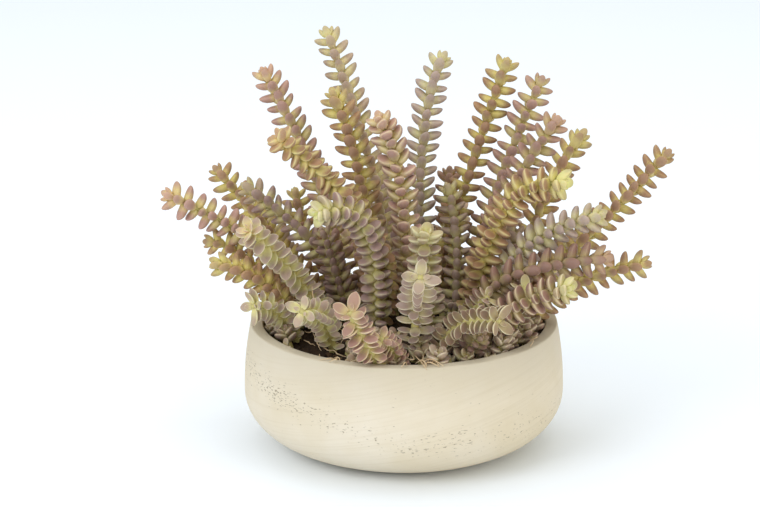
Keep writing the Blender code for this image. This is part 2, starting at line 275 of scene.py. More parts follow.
# Lime wash on cast concrete: dead matt, chalky, with brush drag in faint slanted streaks
# about 2 mm apart, thinner towards the lip, and a band of small open pits where air was
# trapped in the casting, level on the right and climbing to the left.
bowl_wash, tree, shader = new_material("lime_washed_concrete")
place = add_node(tree, "TexCoord", output="Object")
split = add_node(tree, "SeparateXYZ", {"Vector": place})
place_x, place_y, place_z = split.node.outputs
drag_level = add_node(tree, "Math", {
    0: place_x, 1: -DRAG_SLOPE, 2: place_z}, operation="MULTIPLY_ADD")
drag_place = add_node(tree, "CombineXYZ", {"X": place_x, "Y": place_y, "Z": drag_level})
drag_space = add_node(tree, "Mapping", {"Vector": drag_place, "Scale": DRAG_STRETCH})
drag = add_node(tree, "TexNoise", {
    "Vector": drag_space, "Scale": 1.0, "Detail": 5.0, "Roughness": 0.6})
drag_mask = add_node(tree, "MapRange", {
    "Value": drag, "From Min": 0.48, "From Max": 0.78, "To Max": 0.45})
cloud = add_node(tree, "TexNoise", {
    "Vector": place, "Scale": 14.0, "Detail": 4.0, "Roughness": 0.55})
cloud_mask = add_node(tree, "MapRange", {"Value": cloud, "From Min": 0.35, "From Max": 0.68})
wash = add_node(tree, "Mix", {
    "Factor": cloud_mask, "A": linear(WASH_LIGHT), "B": linear(WASH_WARM)}, data_type="RGBA")
streaked = add_node(tree, "Mix", {
    "Factor": drag_mask, "A": wash, "B": linear(WASH_STREAK)}, data_type="RGBA")
thin_mask = add_node(tree, "MapRange", {
    "Value": place_z, "From Min": 64 * MM, "From Max": 100 * MM, "To Max": 0.75})
brushed = add_node(tree, "Mix", {
    "Factor": thin_mask, "A": streaked, "B": linear(WASH_THIN)}, data_type="RGBA")
# Pits: short scratches and specks about 1 to 3 mm long, only where the casting was porous.
pit_space = add_node(tree, "Mapping", {"Vector": place, "Scale": PIT_STRETCH})
pit_noise = add_node(tree, "TexNoise", {
    "Vector": pit_space, "Scale": 1.0, "Detail": 1.0, "Roughness": 0.5})
pit_zone = add_node(tree, "TexNoise", {
    "Vector": place, "Scale": 17.0, "Detail": 2.0, "Roughness": 0.5, "Distortion": 0.6})
zone_mask = add_node(tree, "MapRange", {
    "Value": pit_zone, "From Min": 0.36, "From Max": 0.60, "To Min": 0.10, "To Max": 0.175})
left_part = add_node(tree, "Math", {0: place_x, 1: 0.0}, operation="MINIMUM")
band_level = add_node(tree, "Math", {
    0: left_part, 1: PIT_BAND_SLOPE, 2: place_z}, operation="MULTIPLY_ADD")
band_away = add_node(tree, "Math", {0: band_level, 1: PIT_BAND_HEIGHT}, operation="SUBTRACT")
band_reach = add_node(tree, "Math", {0: band_away}, operation="ABSOLUTE")
band_mask = add_node(tree, "MapRange", {
    "Value": band_reach, "From Min": PIT_BAND_OUTER, "From Max": PIT_BAND_INNER})
left_mask = add_node(tree, "MapRange", {
    "Value": place_x, "From Min": PIT_FADE_REACH, "From Max": 0.0, "To Min": 0.72})
band_part = add_node(tree, "Math", {0: band_mask, 1: left_mask}, operation="MULTIPLY")
porous = add_node(tree, "Math", {0: zone_mask, 1: band_part}, operation="MULTIPLY")
pit_level = add_node(tree, "Math", {0: pit_noise, 1: porous}, operation="ADD")
pit_mask = add_node(tree, "MapRange", {"Value": pit_level, "From Min": 0.76, "From Max": 0.84})
pitted = add_node(tree, "Mix", {
    "Factor": pit_mask, "A": brushed, "B": linear(PIT_GREY)}, data_type="RGBA")
# The bare lip: the wash ends in a slightly ragged line just over its outer edge.
lip_wobble = add_node(tree, "TexNoise", {"Vector": place, "Scale": 60.0, "Detail": 3.0})
lip_level = add_node(tree, "Math", {
    0: lip_wobble, 1: WASH_RAGGED, 2: place_z}, operation="MULTIPLY_ADD")
lip_mask = add_node(tree, "MapRange", {
    "Value": lip_level, "From Min": WASH_END, "From Max": WASH_END + MM})
reach_flat = add_node(tree, "VectorMath", {0: place, 1: (1.0, 1.0, 0.0)}, operation="MULTIPLY")
reach = add_node(tree, "VectorMath", {0: reach_flat}, operation="LENGTH")
inner_mask = add_node(tree, "MapRange", {
    "Value": reach, "From Min": LIP_INNER_EDGE, "From Max": LIP_INNER_EDGE - MM})
low_part = add_node(tree, "MapRange", {
    "Value": place_z, "From Min": 60 * MM, "From Max": 75 * MM})
inner_lip = add_node(tree, "Math", {0: inner_mask, 1: low_part}, operation="MULTIPLY")
bare = add_node(tree, "Math", {0: inner_lip, 1: lip_mask}, operation="MAXIMUM")
finished = add_node(tree, "Mix", {
    "Factor": bare, "A": pitted, "B": linear(CAST_GREY)}, data_type="RGBA")
grit = add_node(tree, "TexNoise", {
    "Vector": place, "Scale": 900.0, "Detail": 3.0, "Roughness": 0.6})
relief = add_node(tree, "Math", {0: pit_mask, 1: -1.0, 2: grit}, operation="MULTIPLY_ADD")
bump = add_node(tree, "Bump", {"Height": relief, "Strength": 0.35, "Distance": 0.4 * MM})
set_inputs(tree, shader, {
    "Base Color": finished, "Normal": bump, "Roughness": 0.86, "Specular IOR Level": 0.3})

bowl = add_object("cast_bowl", bowl_mesh, bowl_wash)
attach(bowl, "root")
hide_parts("bowl")

# The soil: dark peat-based potting mix pressed in by hand, with coarse crumbs and bark
# chips. It fills the bowl to a finger's width below the lip.
SOIL_TOP = 83.6 * MM
SOIL_CROWN = 3 * MM
SOIL_GAP = 0.3 * MM
SOIL_RINGS = 46
SOIL_SIDES = 150
CLOD_SCALE = 95.0
CLOD_HEIGHT = 1.6 * MM
CRUMB_COUNT = 620
CRUMB_SIZES = (0.8 * MM, 2.2 * MM)
CRUMB_SEED = 11
CHIP_COUNT = 124
CHIP_SIZES = (1.5 * MM, 3.6 * MM)
CHIP_SEED = 12
CRUMB_MARGIN = 4 * MM
PEAT_DARK = "#2A2018"
PEAT_BROWN = "#4B3A2A"
BARK = "#6B4F36"

soil_reach = outer_radius(SOIL_TOP) - WALL - SOIL_GAP


def soil_height(x, y):
    """The bed's surface: a low dome, broken up by clods about 10 mm across."""
    edge = math.hypot(x, y) / soil_reach
    clods = noise.fractal(Vector((x, y, 0.0)) * CLOD_SCALE, 1.0, 2.0, 4)
    fade = 1.0 - edge**8
    return SOIL_TOP + SOIL_CROWN * (1.0 - edge * edge) + CLOD_HEIGHT * clods * fade


soil_wall = [point for point in wall_points(WALL + SOIL_GAP, BOWL_FLOOR + SOIL_GAP)
             if point[1] < SOIL_TOP]
soil_profile = [(0.0, BOWL_FLOOR + SOIL_GAP)] + soil_wall + [(soil_reach, SOIL_TOP)]
for ring in range(SOIL_RINGS, -1, -1):
    soil_profile.append((soil_reach * ring / (SOIL_RINGS + 1), SOIL_TOP + SOIL_CROWN))
soil_mesh = turn_profile("potting_soil", soil_profile, SOIL_SIDES)
for vertex in soil_mesh.vertices:
    if vertex.co.z > SOIL_TOP + 0.1 * MM:
        vertex.co.z = soil_height(vertex.co.x, vertex.co.y)
soil_mesh.shade_smooth()


def soil_material(name, dark, light, scale):
    """Moist peat: near black, no sheen, broken by fibres of about a millimetre."""
    material, tree, shader = new_material(name)
    place = add_node(tree, "TexCoord", output="Object")
    specks = add_node(tree, "TexNoise", {
        "Vector": place, "Scale": scale, "Detail": 6.0, "Roughness": 0.7})
    mask = add_node(tree, "MapRange", {"Value": specks, "From Min": 0.35, "From Max": 0.7})
    colour = add_node(tree, "Mix", {
        "Factor": mask, "A": linear(dark), "B": linear(light)}, data_type="RGBA")
    bump = add_node(tree, "Bump", {"Height": specks, "Strength": 0.8, "Distance": 1.0 * MM})
    set_inputs(tree, shader, {
        "Base Color": colour, "Normal": bump, "Roughness": 0.95, "Specular IOR Level": 0.2})
    return material


soil = add_object("potting_soil", soil_mesh, soil_material("peat", PEAT_DARK, PEAT_BROWN, 420.0))
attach(soil, "root")
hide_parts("soil")

# An icosahedron, which every crumb starts from.
GOLDEN = (1.0 + math.sqrt(5.0)) / 2.0
CRUMB_POINTS = [(-1, GOLDEN, 0), (1, GOLDEN, 0), (-1, -GOLDEN, 0), (1, -GOLDEN, 0),
                (0, -1, GOLDEN), (0, 1, GOLDEN), (0, -1, -GOLDEN), (0, 1, -GOLDEN),
                (GOLDEN, 0, -1), (GOLDEN, 0, 1), (-GOLDEN, 0, -1), (-GOLDEN, 0, 1)]
CRUMB_FACES = [(0, 11, 5), (0, 5, 1), (0, 1, 7), (0, 7, 10), (0, 10, 11),
               (1, 5, 9), (5, 11, 4), (11, 10, 2), (10, 7, 6), (7, 1, 8),
               (3, 9, 4), (3, 4, 2), (3, 2, 6), (3, 6, 8), (3, 8, 9),
               (4, 9, 5), (2, 4, 11), (6, 2, 10), (8, 6, 7), (9, 8, 1)]


def scatter_crumbs(name, count, sizes, flatness, seed, material):
    """Lumps that lie half sunk in the soil, each squashed and turned its own way."""
    chance = random.Random(seed)
    vertices = []
    faces = []
    for _ in range(count):
        reach = (soil_reach - CRUMB_MARGIN) * math.sqrt(chance.random())
        angle = chance.uniform(0.0, 2.0 * math.pi)
        x = reach * math.cos(angle)
        y = reach * math.sin(angle)
        size = chance.uniform(*sizes)
        centre = Vector((x, y, soil_height(x, y) + 0.2 * size))
        turn = Matrix.Rotation(chance.uniform(0, 6.28), 3, "Z")
        turn = turn @ Matrix.Rotation(chance.uniform(-0.5, 0.5), 3, "X")
        shape = Vector((1.0, chance.uniform(0.45, 0.9), flatness))
        start = len(vertices)
        for point in CRUMB_POINTS:
            corner = Vector(point).normalized() * size * chance.uniform(0.75, 1.15)
            vertices.append(centre + turn @ (corner * shape))
        faces += [tuple(start + i for i in face) for face in CRUMB_FACES]
    mesh = bpy.data.meshes.new(name)
    mesh.from_pydata(vertices, [], faces)
    mesh.update()
    obj = add_object(name, mesh, material)
    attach(obj, "root")


scatter_crumbs("soil_crumbs", CRUMB_COUNT, CRUMB_SIZES, 0.7, CRUMB_SEED,
               soil_material("peat_crumb", PEAT_DARK, PEAT_BROWN, 900.0))
scatter_crumbs("bark_chips", CHIP_COUNT, CHIP_SIZES, 0.3, CHIP_SEED,
               soil_material("bark_chip", PEAT_BROWN, BARK, 500.0))

# The leafy stems: a trailing stonecrop, each stem one grown shoot with plump pointed
# leaves in pairs, every pair turned a quarter from the last, and a young rosette at its tip.
SEED = 7
ROOT_DEPTH = 14 * MM
COLLAR_HEIGHT = 2 * MM
STEM_RADIUS = 3.2 * MM
STEM_TIP_RADIUS = 2.4 * MM
STEM_SIDES = 8
STEM_BARE = 6 * MM
CURVE_STEPS = 60
CORE_RINGS = 24
# The front, how far and for how many pairs a ridge nods to it, the step of the curve at
# which one rank of leaves is turned to it, and how far off it may be
FRONT = (0.0, -1.0, 0.3)
NODDING = {"ridge": 2.6}
NOD_PAIRS = 6
FACING_PLACE = 42
TURN_PLAY = math.radians(9)
# How much, and over what length, the pitch of the pairs differs between stems
PITCH_PLAY = 0.09
PITCH_WAVE = 7 * MM
LEAF_LENGTH = 12.6 * MM
LEAF_SINK = 0.55
YOUNG_REACH = 5.5
# Half width, height of the top, depth of the underside and the tip's upward curl, as
# shares of the length; how sharp the margin is and how pale its rim; then base, fullest
# place, tip power and tip sharpness of the width and of the depth
LEAF_FORMS = {
    "plump": (0.32, 0.20, 0.33, 0.08, 0.95, 0.3,
              (0.80, 0.40, 2.5, 0.58), (0.96, 0.28, 2.3, 0.58)),
    "broad": (0.38, 0.18, 0.36, 0.06, 1.0, 0.7,
              (0.70, 0.48, 2.7, 0.58), (0.92, 0.40, 2.5, 0.58)),
    "flat": (0.37, 0.08, 0.19, 0.07, 1.35, 1.0,
             (0.56, 0.48, 2.0, 0.76), (0.88, 0.42, 2.0, 0.72)),
    "petal": (0.31, 0.09, 0.18, 0.07, 1.3, 1.0,
              (0.44, 0.52, 2.2, 0.76), (0.86, 0.44, 2.1, 0.72)),
}
# How unlike its neighbours a leaf may be: size, lean in degrees, roll, and the turn about
# the stem of the whole pair and of the one leaf
SIZE_PLAY = (0.86, 1.08)
LEAN_PLAY = 11
ROLL_PLAY = 0.30
PAIR_YAW_PLAY = 0.14
LEAF_YAW_PLAY = 0.12
# What a leaf keeps clear of: the bowl, the soil, other stems' cores and the model's box
WALL_CLEARANCE = 1.0 * MM
SOIL_CLEARANCE = 0.5 * MM
CORE_CLEARANCE = 3.0 * MM
BOX_CLEARANCE = 1.0 * MM
# A leaf that would touch something is drawn as the next of these: size, tilt in degrees
LEAF_TRIES = ((1.0, 0), (0.9, -14), (0.8, -26), (0.65, -34), (0.5, -40))
LEAF_RINGS = (0.0, 0.10, 0.24, 0.40, 0.56, 0.72, 0.86, 0.95)
LEAF_AROUND = (0, 20, 50, 90, 130, 160, 180, 200, 232, 270, 308, 340)
MARGIN_SHARE = {0: 1.0, 20: 0.55}
# How a stem carries its leaves: their form, the pitch of the pairs, leaf length, spread and
# how far those that face the front stand up, and from the bud downwards the young pairs'
# share of the pitch, size and spread. A star opens flat and a ridge has close plates below
# its star, a shingle lays flat leaves over each other, a scale folds them back, a knob is
# packed with broad leaves and a spire carries them upright, a crown stands up with plump
# ones, an open stem spreads them wide and a sprout is a low star.
HABITS = {
    "star": ("petal", 4.0 * MM, 1.0, 84, 0, (
        (0.12, 0.14, 20), (0.10, 0.50, 56), (0.12, 1.08, 74), (0.22, 1.14, 78),
        (0.80, 1.05, 84))),
    "ridge": ("petal", 2.8 * MM, 0.92, 92, 0, (
        (0.14, 0.14, 20), (0.10, 0.50, 56), (0.14, 1.14, 72), (0.30, 1.22, 78),
        (1.00, 1.00, 84))),
    "shingle": ("flat", 4.1 * MM, 0.98, 94, 0, (
        (0.08, 0.40, 26), (0.10, 0.70, 50), (0.16, 0.90, 64), (0.34, 0.96, 78),
        (0.70, 1.0, 88))),
    "scale": ("broad", 3.9 * MM, 0.90, 116, 0, (
        (0.10, 0.44, 26), (0.12, 0.76, 50), (0.20, 0.94, 66), (0.40, 1.02, 84),
        (0.70, 1.02, 102))),
    "knob": ("broad", 4.4 * MM, 0.96, 84, 0, (
        (0.10, 0.50, 26), (0.12, 0.86, 48), (0.20, 1.02, 62), (0.36, 1.04, 74),
        (0.60, 1.0, 80))),
    "spire": ("broad", 4.8 * MM, 0.98, 62, 12, (
        (0.10, 0.44, 20), (0.12, 0.68, 42), (0.20, 0.84, 54), (0.50, 0.94, 58),
        (0.80, 1.0, 60))),
    "crown": ("plump", 5.0 * MM, 1.02, 72, 32, (
        (0.12, 0.40, 16), (0.14, 0.60, 38), (0.34, 0.80, 52), (0.60, 0.92, 62),
        (0.84, 1.0, 68))),
    "open": ("plump", 5.1 * MM, 1.02, 84, 32, (
        (0.12, 0.40, 16), (0.16, 0.60, 40), (0.34, 0.80, 58), (0.60, 0.94, 70),
        (0.84, 1.0, 80))),
    "sprout": ("broad", 4.2 * MM, 0.94, 64, 0, (
        (0.12, 0.30, 16), (0.16, 0.60, 36), (0.30, 0.88, 48), (0.60, 1.0, 58))),
}

# Each stem: root (x, y), elbow (x, y, z), tip (x, y, z), leaf size, twist, tint, the hue
# of its young leaves, the way they stand and how dusky it is, from 0 to 1. Dusk darkens the
# leaves towards brown: painted shade, heaviest on the stems low at the front and on the
# right, with some of their own duskier colour. A stem leaves its root towards the elbow and
# comes to its tip from there. With no twist one of its four ranks faces the front.
STEMS = (
    # Front, over the lip and at the soil's edge
    ((-14, -95), (-24, -113, 108), (-40, -121, 142), 1.12, 45, "rose", "dusk", "ridge", 0.35),
    ((2, -88), (-10, -94, 112), (-17, -108, 117), 0.70, 20, "rose", "dusk", "ridge", 0.15),
    ((8, -66), (8, -74, 142), (12, -112, 166), 1.05, 0, "lilac", "none", "star", 0.55),
    ((26, -62), (34, -76, 128), (70, -116, 134), 0.95, 45, "straw", "none", "star", 1.0),
    ((46, -64), (48, -75, 100), (58, -86, 112), 0.75, 0, "mauve", "none", "crown", 0.95),
    ((40, -36), (40, -52, 110), (63, -64, 136), 0.75, 0, "mauve", "none", "star", 0.7),
    ((-54, -44), (-58, -52, 124), (-76, -88, 132), 0.90, 10, "sage", "none", "star", 0.0),
    ((-84, -18), (-98, -28, 124), (-115, -48, 123), 0.95, 15, "sage", "none", "star", 0.1),
    # Front middle
    ((22, -30), (14, -41, 154), (16, -52, 182), 1.00, 0, "sage", "lemon", "knob", 0.6),
    ((-22, 4), (-15, -19, 209), (-64, -42, 195), 1.00, 0, "mauve", "bright", "knob", 0.1),
    ((-20, 24), (8, 3, 164), (-96, -18, 247), 1.05, 45, "gold", "pink", "scale", 0.35),
    ((4, 26), (3, 14, 225), (-19, 2, 257), 1.05, 0, "rose", "pink", "spire", 0.1),
    ((-44, 30), (-56, 30, 140), (-64, 30, 160), 0.80, 0, "mauve", "none", "crown", 0.6),
    # Left side, spreading
    ((-60, 16), (-78, 0, 134), (-118, -40, 181), 1.10, 45, "sage", "pink", "shingle", 0.0),
    ((-90, 4), (-95, -7, 137), (-144, -18, 148), 0.95, 0, "gold", "lemon", "crown", 0.0),
    ((-90, 24), (-116, 21, 151), (-152, 18, 155), 0.90, 0, "gold", "none", "open", 0.0),
    ((-78, 42), (-86, 36, 146), (-182, 0, 197), 1.00, 0, "rose", "pink", "open", 0.0),
    ((-52, 44), (-30, 44, 123), (-124, 44, 192), 0.95, 0, "mauve", "lemon", "crown", 0.0),
    ((-66, 62), (-75, 68, 111), (-149, 74, 198), 0.95, 0, "gold", "none", "crown", 0.0),
    # Right side, spreading
    ((58, -46), (65, -65, 130), (121, -84, 149), 1.00, 0, "rose", "bright", "knob", 0.95),
    ((80, -36), (86, -48, 120), (92, -58, 141), 0.80, 0, "sage", "lemon", "star", 1.0),
    ((74, -20), (27, -34, 147), (152, -48, 162), 1.00, 0, "rose", "pink", "crown", 0.95),
    ((90, -4), (96, -8, 127), (185, -12, 147), 1.00, 0, "gold", "none", "crown", 0.25),
    ((72, 6), (60, -8, 162), (147, -45, 195), 1.00, 0, "lilac", "lemon", "crown", 0.0),
    ((52, 2), (64, -17, 222), (119, -36, 217), 1.05, 0, "gold", "bright", "knob", 0.2),
    ((68, 28), (140, 36, 146), (205, 42, 220), 0.95, 0, "gold", "none", "open", 0.2),
    ((60, 16), (104, 20, 118), (83, 20, 166), 0.95, 0, "sage", "none", "crown", 1.0),
    # Tall stems
    ((-50, 62), (-44, 64, 160), (-110, 66, 279), 1.00, 0, "rose", "pink", "crown", 0.12),
    ((-24, 44), (-25, 42, 201), (-55, 40, 268), 1.05, 0, "gold", "lemon", "crown", 0.0),
    ((-16, 64), (-5, 72, 163), (-61, 80, 308), 1.00, 0, "straw", "lemon", "crown", 0.0),
    ((14, 66), (6, 74, 243), (30, 82, 288), 0.98, 0, "lilac", "lemon", "crown", 0.0),
    ((20, 50), (31, 63, 138), (80, 76, 285), 1.00, 0, "gold", "lemon", "open", 0.1),
    ((50, 56), (56, 61, 154), (107, 66, 273), 1.02, 0, "rose", "none", "open", 0.2),
    ((56, 38), (50, 29, 152), (117, 20, 252), 1.02, 0, "rose", "pink", "crown", 0.5),
    ((76, 50), (118, 62, 206), (140, 78, 225), 1.00, 0, "gold", "lemon", "crown", 0.1),
    ((40, 30), (46, 37, 158), (34, 44, 192), 0.85, 0, "sage", "lemon", "crown", 0.4),
    ((38, 76), (34, 86, 140), (36, 92, 192), 0.90, 0, "rose", "none", "crown", 0.2),
    # Back, leaning away
    ((-42, 78), (-76, 89, 115), (-88, 100, 173), 0.90, 0, "gold", "lemon", "crown", 0.3),
    ((0, 84), (-4, 104, 142), (-22, 148, 176), 1.00, 0, "mauve", "lemon", "crown", 0.2),
    ((58, 66), (70, 90, 138), (92, 132, 160), 1.00, 0, "lilac", "pink", "crown", 0.2),
    ((-80, 52), (-94, 76, 132), (-122, 112, 156), 1.00, 0, "straw", "lemon", "crown", 0.2),
    ((20, 86), (28, 106, 134), (48, 158, 142), 0.95, 0, "sage", "pink", "crown", 0.2),
    ((90, 32), (106, 46, 130), (140, 88, 136), 0.95, 0, "mauve", "none", "crown", 0.2),
    ((-22, 86), (-36, 108, 130), (-58, 152, 130), 0.90, 0, "rose", "lemon", "crown", 0.2),
)

# Leaf colours by stem: flesh near the base, sun blush towards the tip, thin pale margin.
TINTS = {
    "gold": ("#E0D080", "#A07C5C", "#E6DA9C"),
    "rose": ("#DCCC8C", "#AC887A", "#E8D8B0"),
    "lilac": ("#DAD0A0", "#AC988C", "#E8DFC0"),
    "mauve": ("#D2C88C", "#987E76", "#E2D6B4"),
    "sage": ("#D4CC8A", "#A69080", "#E4E0B4"),
    "straw": ("#DED09A", "#AA947E", "#EAE0BA"),
}
# Young leaves: their hue, its strength and how far the blush reaches down the old leaves
BUDS = {"pink": ("#E8C49A", 0.6, 0.0), "lemon": ("#E2DC92", 0.65, 0.0),
        "none": ("#D6C694", 0.3, 0.0), "dusk": ("#CDB48C", 0.4, 0.15),
        "bright": ("#EEEFA2", 0.9, 0.0)}
# Painted shade: the brown that the leaves of dusky stems are darkened towards
SHADE_PAINT_BROWN = "#6B4A38"
STEM_GREEN = "#D0C67E"
STEM_OLIVE = "#B4A766"
# The underside's mauve-grey: real bloom, and partly painted shade, as it is darker than the
# flesh
BLOOM_AND_SHADE_GREY = "#A48E84"
# What each point of a leaf tells its material, from 0 to 1: its place from base to tip, how
# near the thin edge and how far round the underside it is, how young its leaf is, a chance
# of the leaf's own and how dusky its stem is, which sets how much shade is painted on it
LEAF_TRAITS = ("along", "margin", "under", "young", "own", "dusk")


def swell(share, base, peak, power, sharpness):
    """A leaf's width or depth along its length: full at the peak, drawn out to a point."""
    if share < peak:
        return base + (1.0 - base) * math.sin(0.5 * math.pi * share / peak)
    return (1.0 - ((share - peak) / (1.0 - peak)) ** power) ** sharpness


def leaf_template(half_width, top, belly, curl, edge, rim, width_form, depth_form):
    """One leaf of length 1: points, faces and where each point lies on it.

    X runs across, Y from base to tip and Z is the upper side. Along is 0 at the base and
    1 at the tip, margin is 1 on the thin edge and under is 1 on the underside.
    """
    points = []
    along = []
    margin = []
    under = []
    for share in LEAF_RINGS:
        width = swell(share, *width_form)
        thick = swell(share, *depth_form)
        for degrees in LEAF_AROUND:
            angle = math.radians(degrees)
            lift = math.sin(angle)
            x = half_width * width * math.cos(angle)
            bulge = math.copysign(abs(lift) ** edge, lift)
            z = (top if lift > 0.0 else belly) * thick * bulge + curl * share * share
            points.append((x, share, z))
            along.append(share)
            off_edge = min(degrees % 180, -degrees % 180)
            margin.append(rim * MARGIN_SHARE.get(off_edge, 0.0))
            under.append(max(0.0, -lift))
    points.append((0.0, 1.0, curl))
    along.append(1.0)
    margin.append(0.8 * rim)
    under.append(0.4)
    faces = []
    around = len(LEAF_AROUND)
    for ring in range(len(LEAF_RINGS) - 1):
        for step in range(around):
            a = ring * around + step
            b = ring * around + (step + 1) % around
            faces.append((b, a, a + around, b + around))
    last = (len(LEAF_RINGS) - 1) * around
    for step in range(around):
        faces.append((last + (step + 1) % around, last + step, len(points) - 1))
    faces.append(tuple(range(around)))
    return np.array(points), faces, np.array(along), np.array(margin), np.array(under)


def route_points(root, elbow, tip):
    """Even steps along the stem: a parabola drawn by its root, elbow and tip."""
    points = []
    for step in range(CURVE_STEPS + 1):
        t = step / CURVE_STEPS
        points.append(root.lerp(elbow, t).lerp(elbow.lerp(tip, t), t))
    return points


def facing_turn(points):
    """The root's turn that brings one rank of leaves round to the front."""
    up = Vector((0.0, 0.0, 1.0))
    axis = (points[FACING_PLACE + 1] - points[FACING_PLACE]).normalized()
    side = up.rotation_difference(axis) @ Vector((1.0, 0.0, 0.0))
    front = Vector(FRONT) - axis * Vector(FRONT).dot(axis)
    return math.atan2(side.cross(front).dot(axis), side.dot(front))


def point_along(points, distance):
    """Place and direction at a distance along a chain of points."""
    for start, end in zip(points, points[1:]):
        length = (end - start).length
        if distance <= length or end is points[-1]:
            return start.lerp(end, distance / length), (end - start).normalized()
        distance -= length


def plan_stem(root, elbow, tip, size, twist, habit):
    """Rings of a stem's core and, for each leaf pair, its place, frame, size and spread."""
    foot = Vector((*root, 0.0)) * MM
    edge = 1.0 - (foot.x**2 + foot.y**2) / soil_reach**2
    foot.z = SOIL_TOP + SOIL_CROWN * edge
    points = route_points(foot, Vector(elbow) * MM, Vector(tip) * MM)
    length = sum((b - a).length for a, b in zip(points, points[1:]))
    _, pitch, leaf_length, spread, _, young_pairs = HABITS[habit]
    stations = []
    distance = length
    index = 0
    while distance > STEM_BARE:
        young = young_pairs[index] if index < len(young_pairs) else (1.0, 1.0, spread)
        uneven = 1.0 + PITCH_PLAY * math.sin(2.4 * index + length / PITCH_WAVE)
        distance -= young[0] * pitch * size * uneven
        stations.append((distance, young[1] * leaf_length, young[2], index))
        index += 1
    stations = [station for station in stations if station[0] > STEM_BARE][::-1]
    up = Vector((0.0, 0.0, 1.0))
    turn = facing_turn(points) + twist
    side = Matrix.Rotation(turn, 3, up) @ Vector((1.0, 0.0, 0.0))
    rings = [(foot - up * ROOT_DEPTH, up, side, STEM_RADIUS)]
    rings.append((foot + up * COLLAR_HEIGHT, up, side, STEM_RADIUS))
    axis = up
    pairs = []
    marks = [(station[0], station) for station in stations]
    marks += [(length * step / CORE_RINGS, None) for step in range(2, CORE_RINGS + 1)]
    for distance, station in sorted(marks, key=lambda mark: mark[0]):
        centre, direction = point_along(points, distance)
        if station is not None and station[3] < NOD_PAIRS:
            nod = NODDING.get(habit, 0.0) * (1.0 - station[3] / NOD_PAIRS)
            direction = (direction + Vector(FRONT) * nod).normalized()
        side = axis.rotation_difference(direction) @ side
        axis = direction
        share = distance / length
        radius = STEM_RADIUS + (STEM_TIP_RADIUS - STEM_RADIUS) * share
        if station is None:
            rings.append((centre, axis, side, radius))
        else:
            pairs.append((centre, axis, side, radius, station[1] * size, station[2], station[3]))
    return rings, pairs


def inside_wall(point):
    """True where a point is in the bowl's wall or close over its lip."""
    if point.z > BOWL_HEIGHT + WALL_CLEARANCE or point.z < BOWL_FLOOR:
        return False
    reach = math.hypot(point.x, point.y)
    return reach > outer_radius(min(point.z, BOWL_HEIGHT)) - WALL - WALL_CLEARANCE


def place_leaf(pair, rank, spread, roll, yaw):
    """The leaf's base and its three directions: across, along and up."""
    centre, axis, side, radius = pair[:4]
    outward = Matrix.Rotation(math.radians(90 * rank), 3, axis) @ side
    across = axis.cross(outward)
    lean = math.radians(spread)
    along = axis * math.cos(lean) + outward * math.sin(lean)
    along = Matrix.Rotation(yaw, 3, axis) @ along
    across = Matrix.Rotation(yaw, 3, axis) @ across
    across = Matrix.Rotation(roll, 3, along) @ across
    upper = across.cross(along)
    if upper.dot(axis) < 0.0:
        upper.negate()
        across.negate()
    return centre + outward * radius * LEAF_SINK, across, along, upper


def front_share(pair, rank):
    """How squarely a leaf faces the light at the front, from 0 to 1."""
    _, axis, side = pair[:3]
    outward = Matrix.Rotation(math.radians(90 * rank), 3, axis) @ side
    return max(0.0, outward.dot(Vector(FRONT).normalized())) ** 2


def tube_faces(first, rings, sides):
    """Faces of a closed tube whose points run ring by ring from the first index."""
    faces = []
    for ring in range(rings - 1):
        for step in range(sides):
            a = first + ring * sides + step
            b = first + ring * sides + (step + 1) % sides
            faces.append((a, b, b + sides, a + sides))
    last = first + (rings - 1) * sides
    faces.append(tuple(range(first + sides - 1, first - 1, -1)))
    faces.append(tuple(range(last, last + sides)))
    return faces


def core_points(rings):
    """Points of a stem's core: eight round each ring."""
    points = []
    for centre, axis, side, radius in rings:
        other = axis.cross(side)
        for step in range(STEM_SIDES):
            angle = 2.0 * math.pi * step / STEM_SIDES
            outward = side * math.cos(angle) + other * math.sin(angle)
            points.append(tuple(centre + outward * radius))
    return points


